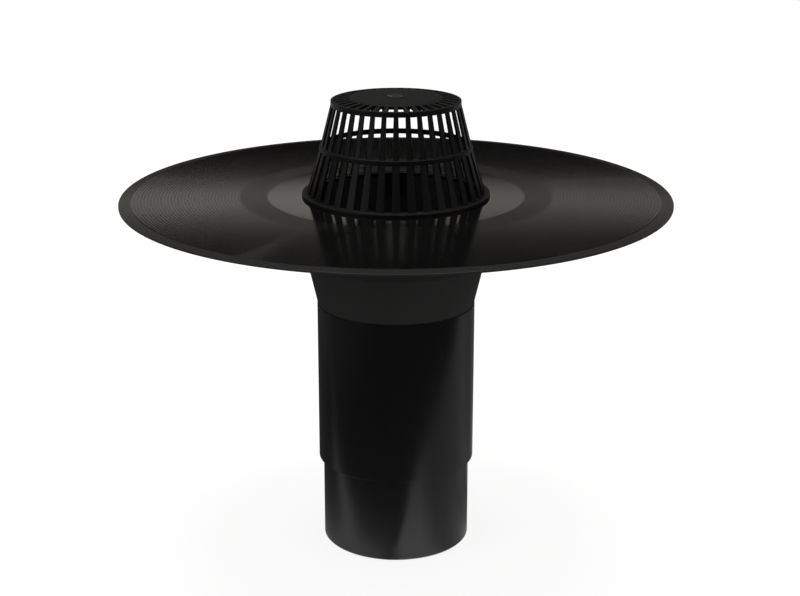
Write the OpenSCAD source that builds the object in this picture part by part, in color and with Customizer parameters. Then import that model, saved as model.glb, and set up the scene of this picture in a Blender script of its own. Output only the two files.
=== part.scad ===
// Flat roof drain: a leaf guard stands on a wide ribbed flange, whose funnel
// runs into a coupling sleeve and a plain spigot pipe.
// Millimetres, +Z up. The origin is the centre of the spigot's open end.

/* [Spigot pipe] */
// Outer diameter of the pipe and of the funnel's neck
pipe_od = 110; // [75:0.5:160]
// Wall of the spigot pipe
pipe_wall = 3.2; // [2:0.1:6]
// Length of pipe that stands free below the sleeve
spigot_run = 65; // [30:1:200]
// Bevel on the outer edge of the pipe's open end
lead_in = 1.2; // [0.5:0.1:1.8]
// Width of the depth mark cut round the pipe at the sleeve's mouth
mark_w = 1.5; // [1.2:0.1:2.5]
// Depth of the depth mark
mark_depth = 0.6; // [0.5:0.1:0.8]

/* [Coupling sleeve] */
// Length of the sleeve
sleeve_len = 121; // [80:1:200]
// Wall of the sleeve
sleeve_wall = 3.2; // [2:0.1:6]
// Radial gap that the jointing cement fills
cement_gap = 0.2; // [0.1:0.05:0.4]
// Height of the stop ring along the sleeve
stop_len = 3; // [2:0.5:6]
// How far the stop ring stands in from the sleeve's bore
stop_in = 2.6; // [1:0.1:4]
// Bevel at both mouths of the sleeve
sleeve_bevel = 0.6; // [0.3:0.1:1.2]

/* [Funnel] */
// Wall of the neck that enters the sleeve
neck_wall = 3.2; // [2:0.1:6]
// Gap left between the neck's end and the stop ring
neck_end_gap = 0.5; // [0.3:0.1:3]
// How far the cone's foot stays inside the sleeve's outer face
foot_step = 0.5; // [0:0.1:1.5]
// Wall of the bowl and the cone
bowl_wall = 3; // [2:0.1:5]
// Inner radius of the bowl at its mouth
bowl_r = 62.8; // [60:0.2:66]
// Height of the straight bowl below the flange
bowl_h = 45.5; // [15:0.5:80]
// Height of the cone between the bowl and the neck
cone_h = 34; // [15:0.5:80]
// Rounding of the mouth's upper edge
mouth_round = 1.5; // [0.5:0.1:1.8]
// Rounding between the bowl and the flange's underside
root_round = 8; // [2:0.5:12]

/* [Flange] */
// Outer diameter of the flange
flange_d = 400; // [320:5:500]
// Thickness of the flange between its ribs
flange_t = 2; // [1.5:0.1:4]
// Outer diameter of the smooth deck round the guard
deck_d = 186; // [170:2:220]
// Distance from one concentric rib to the next
rib_pitch = 2.4; // [2:0.1:6]
// Width of a rib at its foot
rib_w = 2; // [1:0.1:4]
// Height of a rib
rib_h = 0.2; // [0.1:0.05:0.6]
// Width of the plain border inside the rim
border_w = 9; // [4:0.5:20]
// How far the border falls to the rim
border_fall = 0.7; // [0.3:0.1:1.2]

/* [Leaf guard] */
// How far the lower tier stands outside the bowl at the deck
tier_out = 2.7; // [2.2:0.1:3.2]
// How far the foot ring stands out from the lower tier
brim_out = 2.8; // [1:0.1:8]
// Thickness of the foot ring
brim_t = 2; // [1.5:0.1:3]
// How far the lower tier leans inwards
tier1_lean = 10.7; // [6:0.1:14]
// How far the upper tier leans inwards
tier2_lean = 7.8; // [4:0.1:10]
// Wall of the guard, measured level
guard_wall = 1.8; // [1.6:0.1:4]
// Height of the middle ring's centre above the deck
mid_z = 35.5; // [28:0.5:50]
// Height of the top ring's upper edge above the deck
top_z = 69.6; // [60:0.1:110]
// Height of the solid band between the tiers
mid_band_h = 4; // [3:0.5:8]
// Height of the bead on that band
bead_h = 2.7; // [1.5:0.1:2.9]
// How far the bead stands out
bead_out = 0.6; // [0.2:0.1:1]
// Height of the solid band above the upper gaps
top_band_h = 3.8; // [3.4:0.1:6]
// Height of the upright ring at the top of that band
top_ring_h = 3.2; // [2.6:0.1:3.3]
// Number of bars round the guard
bars = 36; // [24:1:40]
// Width of the gap between two bars
slot_w = 5.3; // [3:0.1:5.8]
// Height of the solid ring under the lower gaps
sill_h = 2.6; // [2:0.1:6]

/* [Guard cover] */
// Thickness of the cover
cover_t = 2.4; // [1.8:0.1:4]
// Rise of the flat middle above the top ring
cover_rise = 2; // [0.5:0.1:4]
// Width of the falling shoulder round the flat middle
shoulder_w = 17; // [15:0.5:22]
// Length of the openings in the shoulder
vent_len = 11.1; // [6:0.1:12]
// Ledge between the openings and the guard's wall
vent_ledge = 0.4; // [0.2:0.1:1]
// Share of the bar spacing that each opening takes
vent_share = 0.6; // [0.3:0.05:0.7]
// Radius of the moulding boss at the centre
boss_r = 6.5; // [3:0.5:10]
// Height of the moulding boss
boss_h = 0.6; // [0.3:0.1:1.5]

/* [Guard legs] */
// Number of legs that locate the guard in the bowl
legs = 6; // [3:1:9]
// Length of a leg below the deck
leg_len = 15; // [6:1:30]
// Thickness of a leg
leg_t = 2.4; // [1.8:0.1:3]
// Angle that one leg spans
leg_span = 14; // [8:1:30]
// Gap between the legs and the bowl
leg_gap = 0.4; // [0.3:0.05:0.5]

/* [Hidden] */
$fn = 96;

eps = 0.01;                       // overlap that joins neighbouring sections
pipe_r = pipe_od / 2;

// Levels, from the spigot's end upwards
sleeve_z = spigot_run;
stop_z = sleeve_z + (sleeve_len - stop_len) / 2;
sleeve_top = sleeve_z + sleeve_len;
bowl_z = sleeve_top + cone_h;
flange_z = bowl_z + bowl_h;
deck_z = flange_z + flange_t;

// Sleeve
sleeve_bore = pipe_r + cement_gap;
sleeve_r = sleeve_bore + sleeve_wall;

// Funnel
foot_r = sleeve_r - foot_step;
neck_bore = pipe_r - neck_wall;
flange_r = flange_d / 2;
first_rib_r = (deck_d + rib_w) / 2;
rib_count = floor((flange_r - border_w - rib_w / 2 - first_rib_r) / rib_pitch);
rib_arc_r = (rib_w * rib_w / 4 + rib_h * rib_h) / (2 * rib_h);

// Guard
leg_r = bowl_r - leg_gap;
foot_ring_r = leg_r - leg_t;
tier1_r = bowl_r + tier_out;
brim_r = tier1_r + brim_out;
tier2_r = tier1_r - tier1_lean;
top_r = tier2_r - tier2_lean;
cover_flat_r = top_r - shoulder_w;
slot_step = 360 / bars;
lower_slot = [sill_h, mid_z - mid_band_h / 2];
upper_slot = [mid_z + mid_band_h / 2, top_z - top_band_h];
vent_out_r = top_r - guard_wall - vent_ledge;
vent_in_r = vent_out_r - vent_len;

// A section's inside corner filled with a round of radius r
module corner_round(r) {
    difference() {
        translate([-eps, -eps]) square(r + eps);
        translate([r, r]) circle(r);
    }
}

// One rib in section: the cap of a circle on the flange
module rib_section() {
    intersection() {
        translate([0, rib_h - rib_arc_r]) circle(rib_arc_r);
        translate([-rib_w / 2, -flange_t / 2]) square([rib_w, flange_t]);
    }
}

// Flange, bowl, cone and neck in section, before ribs and rounds
module body_outline() {
    neck_end = stop_z + stop_len + neck_end_gap;
    polygon([
        [neck_bore, neck_end],
        [pipe_r, neck_end],
        [pipe_r, sleeve_top],
        [foot_r, sleeve_top],
        [bowl_r + bowl_wall, bowl_z],
        [bowl_r + bowl_wall, flange_z],
        [flange_r, flange_z],
        [flange_r, deck_z - border_fall],
        [flange_r - border_w, deck_z],
        [bowl_r, deck_z],
        [bowl_r, bowl_z],
        [neck_bore, sleeve_top]
    ]);
}

// Ribbed flange, funnel and neck, moulded in one piece
module drain_body() {
    color([0.06, 0.06, 0.065])
    rotate_extrude() {
        difference() {
            body_outline();
            translate([bowl_r, deck_z]) mirror([0, 1]) corner_round(mouth_round);
        }
        translate([bowl_r + bowl_wall, flange_z]) mirror([0, 1]) corner_round(root_round);
        for (i = [0 : rib_count])
            translate([first_rib_r + i * rib_pitch, deck_z]) rib_section();
    }
}

// Coupling sleeve with its stop ring
module outlet_sleeve() {
    color([0.05, 0.05, 0.055])
    rotate_extrude() {
        translate([0, sleeve_z]) difference() {
            translate([sleeve_bore, 0]) square([sleeve_wall, sleeve_len]);
            translate([sleeve_bore, 0]) rotate(45)
                square(sleeve_bevel * sqrt(2), center = true);
            translate([sleeve_bore, sleeve_len]) rotate(45)
                square(sleeve_bevel * sqrt(2), center = true);
        }
        translate([sleeve_bore - stop_in, stop_z]) square([stop_in + eps, stop_len]);
    }
}

// Spigot pipe, cemented into the sleeve as far as the stop ring
module spigot_pipe() {
    color([0.07, 0.07, 0.075])
    rotate_extrude() polygon([
        [pipe_r - pipe_wall, 0],
        [pipe_r - lead_in, 0],
        [pipe_r, lead_in],
        [pipe_r, sleeve_z - mark_w],
        [pipe_r - mark_depth, sleeve_z - mark_w],
        [pipe_r - mark_depth, sleeve_z],
        [pipe_r, sleeve_z],
        [pipe_r, stop_z],
        [pipe_r - pipe_wall, stop_z]
    ]);
}

// Guard's walls and rings in section, measured from the deck
module guard_section() {
    translate([foot_ring_r, 0]) square([brim_r - foot_ring_r, brim_t]);
    polygon([
        [tier1_r - guard_wall, 0],
        [tier1_r, 0],
        [tier2_r, mid_z],
        [top_r, top_z - top_ring_h],
        [top_r, top_z],
        [top_r - guard_wall, top_z],
        [top_r - guard_wall, top_z - top_ring_h],
        [tier2_r - guard_wall, mid_z]
    ]);
    translate([tier2_r - guard_wall / 2, mid_z - bead_h / 2])
        square([guard_wall / 2 + bead_out, bead_h]);
}

// Cover in section: a flat middle, a falling shoulder and the boss
module cover_section() {
    polygon([
        [0, top_z + cover_rise - cover_t],
        [cover_flat_r, top_z + cover_rise - cover_t],
        [top_r - guard_wall / 2, top_z - cover_t],
        [top_r - guard_wall / 2, top_z],
        [cover_flat_r, top_z + cover_rise],
        [0, top_z + cover_rise]
    ]);
    translate([0, top_z + cover_rise - eps]) square([boss_r, boss_h + eps]);
}

// Gap between two bars, standing radially
module slot(levels) {
    translate([tier2_r / 2, -slot_w / 2, levels[0]])
        cube([brim_r, slot_w, levels[1] - levels[0]]);
}

// Tapered opening in the cover's shoulder
module vent() {
    half = slot_step * vent_share / 2;
    translate([0, 0, top_z - cover_t - 1])
        linear_extrude(cover_t + cover_rise + 2)
            polygon([
                for (a = [-half, half]) vent_in_r * [cos(a), sin(a)],
                for (a = [half, -half]) vent_out_r * [cos(a), sin(a)]
            ]);
}

// Leg that hangs inside the bowl
module leg() {
    rotate([0, 0, -leg_span / 2]) rotate_extrude(angle = leg_span)
        polygon([
            [leg_r - leg_t, -leg_len],
            [leg_r - leg_t / 2, -leg_len],
            [leg_r, leg_t - leg_len],
            [leg_r, brim_t / 2],
            [leg_r - leg_t, brim_t / 2]
        ]);
}

// Two-tier leaf guard, moulded in one piece
module leaf_guard() {
    color([0.1, 0.1, 0.1])
    translate([0, 0, deck_z]) {
        difference() {
            rotate_extrude() {
                guard_section();
                cover_section();
            }
            for (i = [0 : bars - 1]) rotate([0, 0, (i + 0.5) * slot_step - 90]) {
                slot(lower_slot);
                slot(upper_slot);
                vent();
            }
        }
        for (i = [0 : legs - 1]) rotate([0, 0, i * 360 / legs - 90]) leg();
    }
}

leaf_guard();
drain_body();
outlet_sleeve();
spigot_pipe();
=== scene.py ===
# %% [markdown]
# # A flat roof drain in black plastic
# A roof drain takes rain water off a flat roof. A wide flange lies under the roofing
# membrane, a funnel gathers the water, and a spigot pipe carries it down. A leaf guard
# stands over the mouth and keeps leaves and gravel out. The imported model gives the
# places and the outer sizes. This lesson dresses it: each moulding gets a smooth
# surface with rounded edges, and each finish is built from nodes.

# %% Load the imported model
import math

import bpy
import numpy as np
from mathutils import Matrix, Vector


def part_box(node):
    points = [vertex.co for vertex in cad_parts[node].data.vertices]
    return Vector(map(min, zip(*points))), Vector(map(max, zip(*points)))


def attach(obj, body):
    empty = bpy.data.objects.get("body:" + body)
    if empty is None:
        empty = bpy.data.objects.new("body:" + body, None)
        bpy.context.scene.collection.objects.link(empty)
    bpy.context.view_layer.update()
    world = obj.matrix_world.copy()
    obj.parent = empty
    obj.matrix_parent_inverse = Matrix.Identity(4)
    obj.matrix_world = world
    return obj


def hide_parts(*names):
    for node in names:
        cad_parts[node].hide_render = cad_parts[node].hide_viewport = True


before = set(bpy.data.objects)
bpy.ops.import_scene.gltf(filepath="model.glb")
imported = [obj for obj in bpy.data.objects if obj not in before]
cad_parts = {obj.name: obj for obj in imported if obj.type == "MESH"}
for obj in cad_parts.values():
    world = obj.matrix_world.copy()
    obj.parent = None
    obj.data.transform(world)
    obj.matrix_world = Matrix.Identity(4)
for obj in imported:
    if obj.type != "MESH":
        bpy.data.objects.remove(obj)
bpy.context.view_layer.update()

# %% [markdown]
# ## Sizes from the frame
# The outer sizes of the four mouldings are read from their boxes, so that a change in
# the model is followed here. The walls, the ribs and the bars can't be read from a box,
# so they are named once, in metres.

# %% Sizes
MM = 0.001

pipe_low, pipe_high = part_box("spigot_pipe")
sleeve_low, sleeve_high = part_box("outlet_sleeve")
body_low, body_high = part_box("drain_body")
_, guard_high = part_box("leaf_guard")

pipe_r = pipe_high.x
sleeve_r = sleeve_high.x
flange_r = body_high.x
brim_r = guard_high.x
rib_h = 0.2 * MM
flange_t = 2 * MM
deck_z = body_high.z - rib_h
print("radii, metres: pipe", round(pipe_r, 4), "sleeve", round(sleeve_r, 4),
      "flange", round(flange_r, 4), "guard", round(brim_r, 4))

# %% [markdown]
# ## Round corners
# A moulded edge is never quite sharp: the mould's corner is rounded, and that thin
# round is what catches the light. A section is written with its corner points only, and
# this helper swaps each corner for a short arc that is tangent to both sides.

# %% Rounded sections
def rounded(corners, steps=3):
    """Corners (x, z, r) of a closed section, each swapped for an arc of radius r.

    At a corner with half angle h between its sides, the arc starts r / tan(h) along
    each side, and its points are worked out on the circle that touches both. No corner
    may be straight, and every r is above 0.
    """
    pts = np.array([c[:2] for c in corners], float)
    radii = np.array([c[2] for c in corners], float)
    to_last = np.roll(pts, 1, 0) - pts
    to_next = np.roll(pts, -1, 0) - pts
    to_last /= np.linalg.norm(to_last, axis=1)[:, None]
    to_next /= np.linalg.norm(to_next, axis=1)[:, None]
    half = np.arccos(np.clip((to_last * to_next).sum(1), -1, 1)) / 2
    middle = to_last + to_next
    middle /= np.linalg.norm(middle, axis=1)[:, None]
    centre = pts + middle * (radii / np.sin(half))[:, None]
    start = pts + to_last * (radii / np.tan(half))[:, None] - centre
    end = pts + to_next * (radii / np.tan(half))[:, None] - centre
    t = np.linspace(0, 1, steps + 1)[None, :, None]
    spokes = start[:, None] * (1 - t) + end[:, None] * t
    length = np.linalg.norm(spokes, axis=2, keepdims=True)
    arcs = centre[:, None] + spokes / length * radii[:, None, None]
    return arcs.reshape(-1, 2)


# %% [markdown]
# ## Turned surfaces
# A pipe, a sleeve and a flange are all a section carried round the drain's axis. The
# section goes round in a loop, and so does the turning, so the surface is one closed
# grid with no seam. Whole arrays are worked out at once, and the faces are the grid's
# squares.

# %% Grids into meshes
def add_mesh(name, verts, quads):
    """A mesh object from an array of points and an array of four-cornered faces."""
    mesh = bpy.data.meshes.new(name)
    mesh.from_pydata(verts, [], quads)
    mesh.validate()
    mesh.shade_smooth()
    piece = bpy.data.objects.new(name, mesh)
    bpy.context.scene.collection.objects.link(piece)
    return piece


def turned(section, turns):
    """Points and faces of a closed section (r, z) turned about Z.

    Point (i, j) is (r_j cos a_i, r_j sin a_i, z_j), with a_i = 2 pi i / turns.
    """
    a = np.arange(turns) * 2 * np.pi / turns
    r, z = section[:, 0], section[:, 1]
    grid = np.stack([
        np.cos(a)[:, None] * r,
        np.sin(a)[:, None] * r,
        np.broadcast_to(z, (turns, len(z))),
    ], axis=2)
    index = np.arange(turns * len(r)).reshape(turns, len(r))
    ahead = np.roll(index, -1, 0)
    quads = np.stack([index, ahead, np.roll(ahead, -1, 1), np.roll(index, -1, 1)], 2)
    return grid.reshape(-1, 3), quads.reshape(-1, 4)


def level_normals(piece):
    """Flat stretches keep flat shading, and only the rounds between them turn."""
    weighted = piece.modifiers.new("level_normals", "WEIGHTED_NORMAL")
    weighted.keep_sharp = True
    weighted.weight = 100


def dress(piece, node):
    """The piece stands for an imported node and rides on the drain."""
    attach(piece, "root")
    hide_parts(node)
    tris = sum(len(p.vertices) - 2 for p in piece.data.polygons)
    print(piece.name, "triangles before modifiers:", tris)


# %% [markdown]
# ## Spigot pipe
# The pipe is drawn plastic tube, sawn to length and bevelled at its end so that it
# slides into a drain socket. A shallow groove at the sleeve's mouth marks how deep it
# is pushed in.

# %% Spigot pipe
pipe_wall = 3.2 * MM
lead_in = 1.2 * MM
mark_w = 1.5 * MM
mark_depth = 0.6 * MM
edge = 0.25 * MM
tube_turns = 360

pipe_section = rounded([
    (pipe_r - pipe_wall, pipe_low.z, edge),
    (pipe_r - lead_in, pipe_low.z, edge),
    (pipe_r, pipe_low.z + lead_in, edge),
    (pipe_r, sleeve_low.z - mark_w, edge / 2),
    (pipe_r - mark_depth, sleeve_low.z - mark_w, edge / 2),
    (pipe_r - mark_depth, sleeve_low.z, edge / 2),
    (pipe_r, sleeve_low.z, edge / 2),
    (pipe_r, pipe_high.z, edge),
    (pipe_r - pipe_wall, pipe_high.z, edge),
])
spigot = add_mesh("spigot_surface", *turned(pipe_section, tube_turns))
level_normals(spigot)
dress(spigot, "spigot_pipe")

# %% [markdown]
# ## Coupling sleeve
# The sleeve is a plain coupling. Its bore is eased at both mouths, so that the pipe
# slides in, and its outer edges are left crisp. A ring inside stops the pipe from below
# and the neck from above.

# %% Coupling sleeve
sleeve_wall = 3.2 * MM
stop_in = 2.6 * MM
stop_len = 3 * MM
mouth_ease = 0.7 * MM
stop_z = pipe_high.z
sleeve_bore = sleeve_r - sleeve_wall

sleeve_section = rounded([
    (sleeve_bore, sleeve_low.z, mouth_ease),
    (sleeve_r, sleeve_low.z, edge),
    (sleeve_r, sleeve_high.z, edge),
    (sleeve_bore, sleeve_high.z, mouth_ease),
    (sleeve_bore, stop_z + stop_len, edge),
    (sleeve_bore - stop_in, stop_z + stop_len, edge),
    (sleeve_bore - stop_in, stop_z, edge),
    (sleeve_bore, stop_z, edge),
])
sleeve = add_mesh("sleeve_surface", *turned(sleeve_section, tube_turns))
level_normals(sleeve)
dress(sleeve, "outlet_sleeve")

# %% [markdown]
# ## Drain body
# Flange, bowl, cone and neck are one moulding. Round the guard lies a smooth deck, and
# outside it the flange has low concentric ribs, on which roofing adhesive and membrane
# grip. A rib could be a bump in the finish, but real ribs hold at every distance and
# give the flange its true edge, so they are in the section. Each rib has a flat crest,
# which shines like the deck, between two steep flanks, which stay dark. Sharp edges are
# kept where two faces turn by more than sharp_turn, so that the flanks don't smear the
# crests' shading. The border falls a little to the rim.

# %% Drain body
deck_r = 93 * MM
rib_pitch = 2.4 * MM
rib_w = 2 * MM
crest_share = 0.88
border_w = 9 * MM
border_fall = 0.7 * MM
neck_bore = 51.8 * MM
bowl_r = 62.8 * MM
bowl_wall = 3 * MM
cone_h = 34 * MM
foot_r = sleeve_r - 0.5 * MM
mouth_round = 1.5 * MM
root_round = 8 * MM
bowl_round = 4 * MM
neck_round = 2 * MM
round_steps = 4
corners_to_border = 9
flange_turns = 300
sharp_turn = math.radians(45)
flange_z = deck_z - flange_t
bowl_z = sleeve_high.z + cone_h


def rib_crowns():
    """Points of all ribs from the rim inwards, each a flat crest between two flanks.

    Rib i is centred on r = first + i * pitch, and its corners lie at half its width
    and at crest_share of that. The slack keeps a last rib that fits exactly.
    """
    slack = 1e-6
    first = deck_r + rib_w / 2
    last = flange_r - border_w - rib_w / 2
    count = math.floor((last - first) / rib_pitch + slack) + 1
    centres = first + np.arange(count)[::-1] * rib_pitch
    x = rib_w / 2 * np.array([1, crest_share, -crest_share, -1])
    z = deck_z + rib_h * np.array([0, 1, 1, 0])
    r = centres[:, None] + x
    return np.stack([r, np.broadcast_to(z, r.shape)], 2).reshape(-1, 2)


outline = rounded([
    (neck_bore, body_low.z, edge),
    (pipe_r, body_low.z, edge),
    (pipe_r, sleeve_high.z, edge),
    (foot_r, sleeve_high.z, edge),
    (bowl_r + bowl_wall, bowl_z, bowl_round),
    (bowl_r + bowl_wall, flange_z, root_round),
    (flange_r, flange_z, edge),
    (flange_r, deck_z - border_fall, edge),
    (flange_r - border_w, deck_z, edge),
    (bowl_r, deck_z, mouth_round),
    (bowl_r, bowl_z, bowl_round),
    (neck_bore, sleeve_high.z, neck_round),
], steps=round_steps)
to_ribs = corners_to_border * (round_steps + 1)
body_section = np.concatenate([outline[:to_ribs], rib_crowns(), outline[to_ribs:]])
body = add_mesh("body_surface", *turned(body_section, flange_turns))
body.data.set_sharp_from_angle(angle=sharp_turn)
level_normals(body)
dress(body, "drain_body")

# %% [markdown]
# ## Leaf guard
# The guard is one moulding too: two tiers of bars that lean inwards, a sill, a beaded
# band between the tiers, a top band, and a cover with a ring of openings. Heights are
# measured from the deck, on which the guard stands, and radii from its axis.

# %% Guard sizes
bars = 36
slot_w = 5.3 * MM
guard_wall = 1.8 * MM
brim_t = 2 * MM
sill_h = 2.6 * MM
tier1_r = 65.5 * MM
tier2_r = 54.8 * MM
top_r = 47 * MM
mid_z = 35.5 * MM
mid_band_h = 4 * MM
bead_h = 2.7 * MM
bead_out = 0.6 * MM
top_z = 69.6 * MM
top_band_h = 3.8 * MM
top_ring_h = 3.2 * MM
cover_t = 2.4 * MM
cover_rise = 2 * MM
cover_flat_r = 30 * MM
cover_inner_r = 18 * MM
vent_gap = 0.4 * MM
vent_len = 11.1 * MM
vent_share = 0.6
boss_r = 6.5 * MM
gate_r = 2 * MM
gate_depth = 0.3 * MM
pole_r = 0.8 * MM
leg_t = 2.4 * MM
leg_gap = 0.4 * MM
leg_r = bowl_r - leg_gap
foot_ring_r = leg_r - leg_t
bead_low, bead_top = mid_z - bead_h / 2, mid_z + bead_h / 2
bead_r = tier2_r + bead_out
corner_r = top_r - guard_wall
vent_out_r = corner_r - vent_gap
vent_in_r = vent_out_r - vent_len
plate_z = top_z + cover_rise
boss_z = guard_high.z - deck_z
print("cover boss height, metres:", round(boss_z - plate_z, 4))

# %% [markdown]
# ## Rows of the guard's grid
# All of the guard is one shell with windows in it. So one grid is enough: its rows run
# from the foot up the wall and over the cover, and its columns run round. Each row is
# four numbers: the radius and height of its outer place, then those of its inner one.

# %% Guard rows
def wall_r(z):
    """Outer radius of the guard's wall at height z above the deck."""
    levels = [0, mid_z, top_z - top_ring_h, top_z]
    return np.interp(z, levels, [tier1_r, tier2_r, top_r, top_r])


def cover_z(r):
    """Height of the cover's upper face at radius r: flat, then a falling shoulder."""
    return np.interp(r, [cover_flat_r, top_r - guard_wall / 2], [plate_z, top_z])


def wall_rows(levels):
    """Outer and inner places of rows at these heights on the wall."""
    z = np.array(levels)
    return np.stack([wall_r(z), z, wall_r(z) - guard_wall, z], 1)


def cover_rows(radii):
    """Outer and inner places of rows at these radii on the cover."""
    r = np.array(radii)
    return np.stack([r, cover_z(r), r, cover_z(r) - cover_t], 1)


foot_rows = np.array([
    [brim_r, 0, foot_ring_r, 0],
    [brim_r, brim_t, foot_ring_r, brim_t],
])
bead_inner_z = np.linspace(bead_low, bead_top, 4)
bead_rows = np.stack([
    [wall_r(bead_low), bead_r, bead_r, wall_r(bead_top)],
    [bead_low, bead_low, bead_top, bead_top],
    wall_r(bead_inner_z) - guard_wall,
    bead_inner_z,
], 1)
corner_rows = np.array([
    [top_r, top_z, corner_r, cover_z(corner_r) - cover_t],
])
under_z = plate_z - cover_t
boss_rows = np.array([
    [boss_r, plate_z, boss_r + boss_z - plate_z, under_z],
    [boss_r, boss_z, boss_r, under_z],
    [gate_r + gate_depth, boss_z, gate_r + gate_depth, under_z],
    [gate_r, boss_z - gate_depth, gate_r, under_z],
    [pole_r, boss_z - gate_depth, pole_r, under_z],
])

# Each stretch of rows, and whether the cells inside it have windows
stretches = [
    (foot_rows, False),
    (wall_rows([brim_t]), False),
    (wall_rows(np.linspace(sill_h, mid_z - mid_band_h / 2, 6)), True),
    (bead_rows, False),
    (wall_rows(np.linspace(mid_z + mid_band_h / 2, top_z - top_band_h, 6)), True),
    (wall_rows([top_z - top_ring_h]), False),
    (corner_rows, False),
    (cover_rows(np.linspace(vent_out_r, vent_in_r, 4)), True),
    (cover_rows([cover_flat_r, cover_inner_r]), False),
    (boss_rows, False),
]
cover_stretches = 3
rows = np.concatenate([s for s, _ in stretches])
row_open = np.concatenate(
    [np.append(np.full(len(s) - 1, w), False) for s, w in stretches])[:-1]
n_cover_rows = sum(len(s) for s, _ in stretches[-cover_stretches:])
print("guard rows:", len(rows), "rows of windows:", int(row_open.sum()))

# %% [markdown]
# ## Guard columns and faces
# The gaps between the bars have parallel sides, as a slide in the mould leaves them, so
# a gap takes a wider angle where the wall is narrower: its half angle at radius r is
# asin(w / 2r). The openings in the cover are tapered, with one angle throughout. Each
# gap gets two columns of cells and each bar three. A cell is either solid or open, and
# where a solid cell meets an open one, a wall face joins the outer skin to the inner.

# %% Guard shell
def half_gap(r):
    """Half the angle that a gap takes at radius r on the wall."""
    return np.arcsin(slot_w / 2 / r)


def guard_shell():
    """Points and faces of the guard's shell, from its rows, columns and windows.

    A point at row i and angle a is (r_i cos a, r_i sin a, z_i). The inner points are
    numbered like the outer ones, one sheet on. Skins are the solid cells, and rims are
    the borders between solid and open cells.
    """
    step = 2 * np.pi / bars
    on_wall = np.arange(len(rows)) < len(rows) - n_cover_rows
    sheets = []
    for r, z in ((rows[:, 0], rows[:, 1]), (rows[:, 2], rows[:, 3])):
        half = np.full((len(r), 1), step * vent_share / 2)
        half[on_wall, 0] = half_gap(r[on_wall])
        bar = step - 2 * half
        offsets = np.concatenate(
            [-half, 0 * half, half, half + bar / 3, half + bar * 2 / 3], 1)
        centres = (np.arange(bars) + 0.5) * step - np.pi / 2
        a = (centres[None, :, None] + offsets[:, None, :]).reshape(len(r), -1)
        sheets.append(np.stack([r[:, None] * np.cos(a), r[:, None] * np.sin(a),
                                np.broadcast_to(z[:, None], a.shape)], 2))
    n_rows, n_cols = sheets[0].shape[:2]
    out = np.arange(n_rows * n_cols).reshape(n_rows, n_cols)
    inn = out + out.size
    col_open = np.tile([True, True, False, False, False], bars)
    solid = ~(row_open[:, None] & col_open[None, :])

    def cells(grid):
        ahead = np.roll(grid, -1, 1)
        return np.stack([grid[:-1], ahead[:-1], ahead[1:], grid[1:]], 2)

    skins = [cells(out)[solid], cells(inn)[solid][:, ::-1]]
    after = np.roll(solid, -1, 1)
    out_next, inn_next = np.roll(out, -1, 1), np.roll(inn, -1, 1)
    uprights = np.stack([out_next[:-1], inn_next[:-1], inn_next[1:], out_next[1:]], 2)
    ledges = np.stack([out, out_next, inn_next, inn], 2)
    ends = np.vstack([np.zeros((1, n_cols), bool), solid])
    starts = np.vstack([solid, ends[-1:]])
    rims = [
        uprights[solid & ~after],
        uprights[~solid & after][:, ::-1],
        ledges[ends & ~starts],
        ledges[~ends & starts][:, ::-1],
    ]
    faces = np.concatenate(skins + rims).tolist()
    faces += [out[-1].tolist(), inn[-1][::-1].tolist()]
    return np.concatenate([s.reshape(-1, 3) for s in sheets]), faces


shell_points, shell_faces = guard_shell()
print("guard shell:", len(shell_points), "points,", len(shell_faces), "faces")

# %% [markdown]
# ## Legs under the guard
# Six legs under the foot ring drop into the bowl and keep the guard in its place. They
# could be part of its grid, but a leg covers only a few of the grid's columns. So each
# is a closed block of its own, which reaches up into the foot ring.

# %% Guard legs
legs = 6
leg_len = 15 * MM
leg_span = math.radians(14)
leg_steps = 9


def guard_legs():
    """Points and faces of the legs: a five-cornered section turned through leg_span.

    Leg k is centred on the angle 2 pi k / legs, counted from the front.
    """
    section = np.array([
        [leg_r - leg_t, -leg_len],
        [leg_r - leg_t / 2, -leg_len],
        [leg_r, leg_t - leg_len],
        [leg_r, brim_t / 2],
        [leg_r - leg_t, brim_t / 2],
    ])
    middle = np.arange(legs) * 2 * np.pi / legs - np.pi / 2
    a = middle[:, None] + np.linspace(-leg_span / 2, leg_span / 2, leg_steps)
    grid = np.stack([
        np.cos(a)[..., None] * section[:, 0],
        np.sin(a)[..., None] * section[:, 0],
        np.broadcast_to(section[:, 1], a.shape + (len(section),)),
    ], 3)
    index = np.arange(grid[..., 0].size).reshape(grid.shape[:3])
    ahead = np.roll(index, -1, 2)
    quads = np.stack([index[:, :-1], index[:, 1:], ahead[:, 1:], ahead[:, :-1]], 3)
    caps = np.concatenate([index[:, 0], index[:, -1][:, ::-1]])
    return grid.reshape(-1, 3), quads.reshape(-1, 4).tolist() + caps.tolist()


leg_points, leg_faces = guard_legs()
print("guard legs:", legs, "with", len(leg_faces), "faces")

# %% [markdown]
# ## Guard in one mesh
# Shell and legs go into one mesh, lifted onto the deck. Its edges are still sharp, so a
# Bevel modifier rounds each one by the same small radius as the other mouldings. That
# saves working out the rounds in the grid, where they would hide its plan.

# %% Guard mesh
leg_faces = [[i + len(shell_points) for i in f] for f in leg_faces]
guard_points = np.concatenate([shell_points, leg_points]) + [0, 0, deck_z]
guard = add_mesh("guard_surface", guard_points, shell_faces + leg_faces)
rounds = guard.modifiers.new("mould_rounds", "BEVEL")
rounds.width = edge
rounds.segments = 2
rounds.limit_method = "ANGLE"
rounds.angle_limit = math.radians(40)
rounds.use_clamp_overlap = False
level_normals(guard)
dress(guard, "leaf_guard")

# %% [markdown]
# ## Nodes as expressions
# A finish is easier to read as a sum than as a list of links. One small class holds a
# node's output, and its operators add Math nodes. One method adds any other node: it
# takes the node's type, its settings and the values or links of its sockets. A socket
# is named by its own name, or by i and its number where names repeat.

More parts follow.
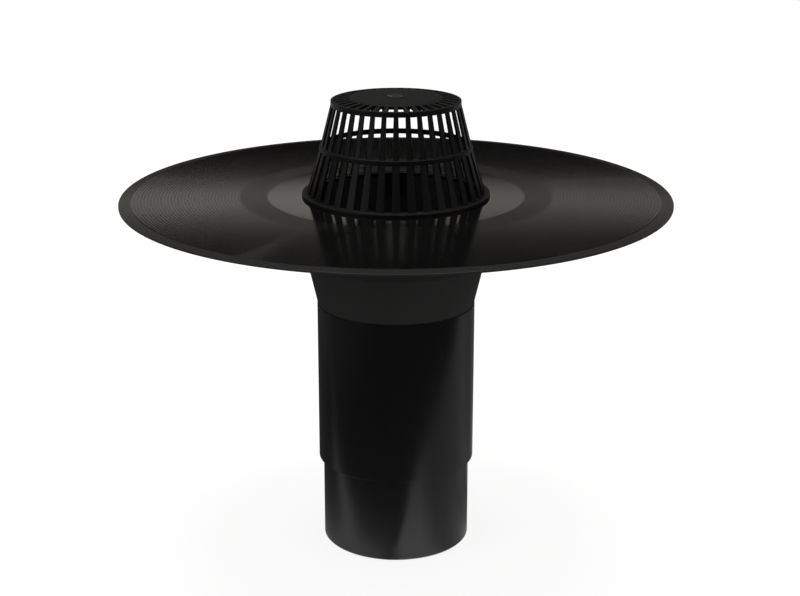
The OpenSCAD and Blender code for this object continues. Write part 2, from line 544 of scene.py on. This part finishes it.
# %% Shader helpers
class Sock:
    """An output socket in a node tree, with arithmetic that adds Math nodes."""

    def __init__(self, tree, socket=None):
        self.tree, self.socket = tree, socket

    def node(self, kind, settings=None, output=0, **inputs):
        """Adds a node: its settings first, then a value or a link for each socket."""
        made = self.tree.nodes.new(kind)
        for key, value in (settings or {}).items():
            setattr(made, key, value)
        for key, value in inputs.items():
            by_number = key[0] == "i" and key[1:].isdigit()
            found = made.inputs[int(key[1:]) if by_number else key.replace("_", " ")]
            if isinstance(value, Sock):
                self.tree.links.new(value.socket, found)
            else:
                found.default_value = value
        return Sock(self.tree, made.outputs[output]) if len(made.outputs) else None

    def math(self, operation, *values):
        """Adds a Math node with these values or sockets, in their order."""
        inputs = {f"i{k}": v for k, v in enumerate(values)}
        return self.node("ShaderNodeMath", {"operation": operation}, **inputs)

    def __add__(self, other):
        return self.math("ADD", self, other)

    def __sub__(self, other):
        return self.math("SUBTRACT", self, other)

    def __rsub__(self, other):
        return self.math("SUBTRACT", other, self)

    def __mul__(self, other):
        return self.math("MULTIPLY", self, other)

    def __truediv__(self, other):
        return self.math("DIVIDE", self, other)

    def __rtruediv__(self, other):
        return self.math("DIVIDE", other, self)

    def __pow__(self, other):
        return self.math("POWER", self, other)

    __radd__ = __add__
    __rmul__ = __mul__

    def clamped(self):
        """Held between 0 and 1."""
        return self.node("ShaderNodeClamp", Value=self)

    def step(self, low, high):
        """0 below low, 1 above high and a smooth S between."""
        return self.node("ShaderNodeMapRange", {"interpolation_type": "SMOOTHSTEP"},
                         Value=self, From_Min=low, From_Max=high)


def mix_colours(a, b, share):
    """Colour a at share 0, colour b at share 1."""
    kind = {"data_type": "RGBA"}
    return share.node("ShaderNodeMix", kind, output=2, i0=share, i6=a, i7=b)


# %% [markdown]
# ## Black plastic
# All four mouldings are black polypropylene, but each left its mould or die with its
# own skin. The colour is nearly black throughout, so the look lives in the roughness
# and in a very low relief: a fine grain, slow waves of gloss, and marks of the process.
# The patterns read the piece's own coordinates, so they stay on it when it moves. These
# helpers start a finish and fetch what every finish needs.

# %% Finish helpers
def new_finish(name):
    """An empty material with a Principled shader, as (material, start, shader)."""
    material = bpy.data.materials.new(name)
    material.use_nodes = True
    tree = material.node_tree
    return material, Sock(tree), tree.nodes["Principled BSDF"]


def plug(start, shader, **inputs):
    """Sets or links sockets of the Principled shader."""
    for key, value in inputs.items():
        socket = shader.inputs[key.replace("_", " ")]
        if isinstance(value, Sock):
            start.tree.links.new(value.socket, socket)
        else:
            socket.default_value = value


def object_place(start):
    """Place on the piece, in metres from the spigot's end."""
    return start.node("ShaderNodeTexCoord", output=3)


def split_xyz(start, vector):
    """The x, y and z of a vector, as three sockets."""
    first = start.node("ShaderNodeSeparateXYZ", Vector=vector)
    return [Sock(start.tree, out) for out in first.socket.node.outputs]


def radius_of(start, place):
    """Distance from the drain's axis, and height, in metres."""
    x, y, z = split_xyz(start, place)
    return (x * x + y * y) ** 0.5, z


def noise(start, place, scale, detail=2.0, stretch=(1, 1, 1)):
    """Noise from 0 to 1 on the piece's own coordinates, stretched along an axis.

    A scale of 1000 gives spots about a millimetre wide.
    """
    spot = start.node("ShaderNodeMapping", Vector=place, Scale=stretch)
    return start.node("ShaderNodeTexNoise", Vector=spot, Scale=scale, Detail=detail)


def bump(start, height, distance):
    """A Bump node's normal, from a height of 0 to 1 that stands for distance metres."""
    return start.node("ShaderNodeBump", Height=height, Distance=distance, Strength=1.0)


# %% [markdown]
# ## Drawn tube
# The pipe and the sleeve come out of a die, which polishes them and leaves faint lines
# along their length. The lines are noise pressed flat along Z, so that it changes only
# round the tube. Slow waves of gloss show where the plastic cooled unevenly. Lines cut
# in the mesh would need far more faces for a relief that is only felt.

# %% Tube finish
def tube_plastic(name, gloss):
    """Drawn tube: long faint die lines along the pipe and slow waves of gloss."""
    material, start, shader = new_finish(name)
    place = object_place(start)
    lines = noise(start, place, 900, 1.0, (1, 1, 0.01))
    waves = noise(start, place, 22, 3.0, (1, 1, 0.35))
    specks = noise(start, place, 2600, 1.0)
    tone = mix_colours((0.0046, 0.0038, 0.0052, 1), (0.0076, 0.0064, 0.0082, 1), waves)
    plug(start, shader, Base_Color=tone, IOR=1.5,
         Roughness=gloss + 0.10 * waves + 0.04 * lines,
         Normal=bump(start, lines * 0.6 + specks * 0.4, 0.00003))
    return material


spigot.data.materials.append(tube_plastic("pipe_plastic", 0.12))
sleeve.data.materials.append(tube_plastic("sleeve_plastic", 0.12))
print("tube finishes on", spigot.name, "and", sleeve.name)

# %% [markdown]
# ## Moulded body
# One mould makes the flange and the funnel, but its faces aren't finished alike. The
# deck is polished, the ribs are nearly so, and a duller ring lies between them, where a
# turned insert of the mould ends. The underside and the funnel are left dull, because
# they go into the roof, and the border is made as dull and as light in tone as they
# are.
# One material does all this: radius and height choose the zone, and each zone adds its
# own share of roughness.

# %% Body finish
insert_r = 112 * MM
insert_fade = 3 * MM
zone_fade = 1 * MM
under_lip = 0.3 * MM


def body_plastic(name):
    """Moulded body: glossy deck and ribs, duller ring and border, dull underside."""
    material, start, shader = new_finish(name)
    place = object_place(start)
    r, z = radius_of(start, place)
    under = 1 - z.step(flange_z + under_lip, flange_z + zone_fade)
    ribbed = r.step(deck_r, deck_r + zone_fade)
    ring = ribbed * (1 - r.step(insert_r, insert_r + insert_fade))
    border_r = flange_r - border_w
    border = r.step(border_r, border_r + zone_fade) * (1 - under)
    waves = noise(start, place, 16, 3.0)
    grain = noise(start, place, 2200, 2.0)
    top = mix_colours((0.0030, 0.0028, 0.0028, 1), (0.0052, 0.0048, 0.0046, 1), waves)
    tone = mix_colours(top, (0.0262, 0.0250, 0.0247, 1), under + border)
    gloss = (0.06 + 0.04 * waves + ribbed * 0.03 + ring * 0.065 + border * 0.10
             + under * 0.65)
    height = grain * (0.25 + under * 0.6)
    plug(start, shader, Base_Color=tone, IOR=1.5, Roughness=gloss,
         Normal=bump(start, height, 0.00004))
    return material


body.data.materials.append(body_plastic("body_plastic"))
print("body finish on", body.name)

# %% [markdown]
# ## Guard's grain
# The guard's mould is eroded by sparks, which leaves an even, dull grain that hides
# scratches. Only the moulding boss is smooth, where the plastic went in. A fine noise
# gives the grain its relief, and a slow one changes its tone and dullness a little.

# %% Guard finish
boss_fade = 0.3 * MM


def guard_plastic(name):
    """Spark-eroded moulding: an even, dull grain with a smooth boss."""
    material, start, shader = new_finish(name)
    place = object_place(start)
    r, _ = radius_of(start, place)
    polished = 1 - r.step(boss_r - boss_fade, boss_r)
    waves = noise(start, place, 30, 3.0)
    grain = noise(start, place, 1500, 3.0)
    tone = mix_colours((0.0034, 0.0033, 0.0033, 1), (0.0064, 0.0061, 0.0060, 1), waves)
    plug(start, shader, Base_Color=tone, IOR=1.45,
         Roughness=0.42 + 0.14 * waves - 0.32 * polished,
         Normal=bump(start, grain, 0.00006))
    return material


guard.data.materials.append(guard_plastic("guard_plastic"))
print("guard finish on", guard.name)

# %% [markdown]
# ## Floor and backdrop
# Black gloss shows its surroundings more than its own colour, so the studio is part of
# the finish. The floor is a white sheet. To the camera it is white with the drain's
# soft shadow on it. In the plastic it shows painted light: the pipe and the sleeve
# mirror the floor round them, so each light streak on them is a painted reflection of a
# patch of light painted on the floor. The patches are formulas in the floor's own x and
# y: a painted lit field on the right with a curved edge, a narrow painted streak on the
# left, and a faint painted pool of light in front.

# %% Floor
def painted_reflection_patches(x, y):
    """How bright the painted light at each place of the floor shows in gloss, from its
    x and y in metres.

    away is the distance from the drain's axis. ahead is y / away: -1 at the camera's
    side of the drain, 0 beside it and 1 behind it. A term 1 / (1 + (d / w) ** n) is 1
    at d = 0 and falls off smoothly past the width w.
    """
    away = (x * x + y * y) ** 0.5
    ahead = y / away

    # Right: a painted lit field beyond a curved edge, brighter near the pipe, fading
    # behind it
    near = (1 - x / 0.2).clamped()
    far = (x - 0.22).clamped() / 0.33
    edge_y = 0.14 * near ** 3 + 0.25 * far ** 1.75 - 0.222
    lit = ((y - edge_y) / away).step(-0.07, 0.09) * x.step(-0.01, 0.01)
    bright = 0.6 / (1 + (away / 0.19) ** 4) * (1 - (x / away).step(0.42, 0.82))
    rim = (1 - away / 0.2).clamped() * ahead.step(-0.15, 0.25)
    right = lit * (0.27 * (1 - 0.75 * ahead.step(0.2, 0.7)) * (1 - rim) + bright)

    # Left: a narrow painted light streak that bends back where it is further out
    streak_y = 0.42 * (0 - x - 0.11).clamped() - 0.05
    streak = 1 / (1 + ((y - streak_y) / 0.028) ** 2) ** 1.5
    left = 0.62 / (1 + (x / 0.2) ** 4) * streak * (1 - x.step(-0.02, 0))

    # A faint painted pool of light in front of the pipe, then a little painted light
    # far behind and far left
    painted_pool = 0.19 / (1 + ((away - 0.08) / 0.06) ** 2) * (0.4 - 0.6 * ahead).clamped()
    beyond = 0.45 * y.step(0.6, 1.3)
    return 0.05 + painted_pool + right + left + beyond + 0.045 * (0 - x).step(0.3, 0.5)


def floor_finish():
    """White to the camera with the drain's shadow kept; painted light patches in
    reflections.
    """
    material = bpy.data.materials.new("studio_floor")
    material.use_nodes = True
    tree = material.node_tree
    tree.nodes.clear()
    start = Sock(tree)
    x, y, _ = split_xyz(start, object_place(start))
    # Painted light: patches of light on the floor that only reflections show
    seen = painted_reflection_patches(x, y)
    warm = (1, 0.99, 0.97, 1)

    # To the camera most of the white is the floor's own, and the rest is lit, so that
    # the drain's shadow takes only that rest away
    white = start.node("ShaderNodeEmission", Color=(1, 1, 1, 1), Strength=0.86)
    paper = start.node("ShaderNodeBsdfDiffuse", Color=(0.30, 0.30, 0.30, 1))
    to_camera = start.node("ShaderNodeAddShader", i0=white, i1=paper)

    # Gloss sees the painted light patches, and every other ray finds plain grey paper
    painted_reflection_glow = start.node("ShaderNodeEmission", Color=warm, Strength=seen)
    grey = start.node("ShaderNodeBsdfDiffuse", Color=(0.6, 0.6, 0.6, 1))
    ray = start.node("ShaderNodeLightPath")
    is_glossy = Sock(tree, ray.socket.node.outputs["Is Glossy Ray"])
    other = start.node("ShaderNodeMixShader", i0=is_glossy, i1=grey, i2=painted_reflection_glow)
    shown = start.node("ShaderNodeMixShader", i0=ray, i1=other, i2=to_camera)
    start.node("ShaderNodeOutputMaterial", Surface=shown)
    return material


half_floor = 12.0
floor_corners = half_floor * np.array([(-1, -1, 0), (1, -1, 0), (1, 1, 0), (-1, 1, 0)])
floor = add_mesh("studio_floor", floor_corners, [(0, 1, 2, 3)])
floor.data.materials.append(floor_finish())
print("floor, metres:", 2 * half_floor, "each way")

# %% [markdown]
# ## World
# The room round the drain is white to the camera, as the floor is, so that no horizon
# shows. Gloss would turn grey in a white room, so reflections find a painted dim one, a
# little lighter to the left and above, with a painted black band low behind the drain,
# which keeps the flange's back dark. Every other ray takes an even grey, which fills
# shadows.

# %% World
grey_fill = 0.45


def studio_world():
    """White to the camera; painted dim light in reflections, and even grey to every
    other ray.

    x, y and z are the ray's direction. Behind the drain and low down, reflections meet
    a painted black band.
    """
    world = bpy.data.worlds.new("studio")
    bpy.context.scene.world = world
    world.use_nodes = True
    tree = world.node_tree
    tree.nodes.clear()
    start = Sock(tree)
    x, y, z = split_xyz(start, start.node("ShaderNodeTexCoord", output=0))
    # Painted reflection: a dark band behind and low, and a faint sheen to the left and
    # above, which only gloss sees
    painted_dark_band = y.step(0.4, 0.8) * (1 - z.step(0.20, 0.26))
    side = 0.02 * (1 - 1.2 * x).clamped() * (1 - painted_dark_band)
    seen = side + 0.02 * z.step(0.22, 0.32)
    ray = start.node("ShaderNodeLightPath")
    is_glossy = Sock(tree, ray.socket.node.outputs["Is Glossy Ray"])
    strength = ray + (1 - ray) * (is_glossy * seen + (1 - is_glossy) * grey_fill)
    warm = (1, 0.99, 0.975, 1)
    glow = start.node("ShaderNodeBackground", Color=warm, Strength=strength)
    start.node("ShaderNodeOutputWorld", Surface=glow)


studio_world()
print("world:", bpy.context.scene.world.name)

# %% [markdown]
# ## Lamps
# Three soft boxes light the drain at a plain level: one overhead and a weak one at each
# side. Two long strips stand low behind it. They light little, but they lie where the
# camera's line of sight goes on after it glances off the flange, so the deck and the
# flange's two sides show them as a light band, and the flange's front and back stay
# dark. A strip's power is worked out from how bright its mirror image should be, and
# the left one is the brighter.

# %% Lamps
def soft_box(name, place, aim, size, watts, height=None, colour=(1, 1, 1)):
    """An area lamp at place, facing aim: square, or a strip where a height is given."""
    lamp = bpy.data.lights.new(name, "AREA")
    lamp.shape = "RECTANGLE"
    lamp.size = size
    lamp.size_y = height or size
    lamp.energy = watts
    lamp.color = colour
    box = bpy.data.objects.new(name, lamp)
    box.location = place
    way = np.array(aim, float) - np.array(place, float)
    yaw = math.atan2(way[1], way[0]) - math.pi / 2
    box.rotation_euler = (math.atan2(math.hypot(way[0], way[1]), -way[2]), 0, yaw)
    bpy.context.scene.collection.objects.link(box)


def strip_watts(seen, width, height):
    """Power of a strip that a mirror shows with the value seen: pi times its area."""
    return seen * math.pi * width * height


soft_box("overhead", (0, 0.2, 1.9), (0, 0, 0.2), 1.2, 12)
soft_box("left_window", (-1.5, -0.9, 1.0), (0, 0, 0.25), 0.7, 2.5)
soft_box("right_window", (1.6, -0.6, 0.9), (0, 0, 0.25), 0.5, 1)
strip_y, strip_z = 0.6, deck_z + 0.160
strip_w, strip_h = 0.6, 0.044
strip_warm = (1, 0.955, 0.88)
for name, side, seen in (("left_strip", -1, 0.48), ("right_strip", 1, 0.355)):
    x = side * strip_w / 2
    soft_box(name, (x, strip_y, strip_z), (x, 0, strip_z), strip_w,
             strip_watts(seen, strip_w, strip_h), strip_h, strip_warm)

# %% [markdown]
# ## Camera
# The camera looks down a little on the flange from in front, from 1.2 metres away,
# which shows the deck through the guard and the whole pipe below. The view transform is
# Standard, so that a colour comes out as it is written.

# %% Camera
look_down = math.radians(17.63)
camera_data = bpy.data.cameras.new("camera")
camera = bpy.data.objects.new("camera", camera_data)
camera.location = (0, -1.1785, 0.5626)
camera.rotation_euler = (math.pi / 2 - look_down, 0, 0)
camera_data.lens = 74.91
camera_data.shift_x = 0.005
bpy.context.scene.collection.objects.link(camera)
bpy.context.scene.camera = camera
bpy.context.scene.view_settings.view_transform = "Standard"
print("camera at", tuple(camera.location), "lens", camera_data.lens)
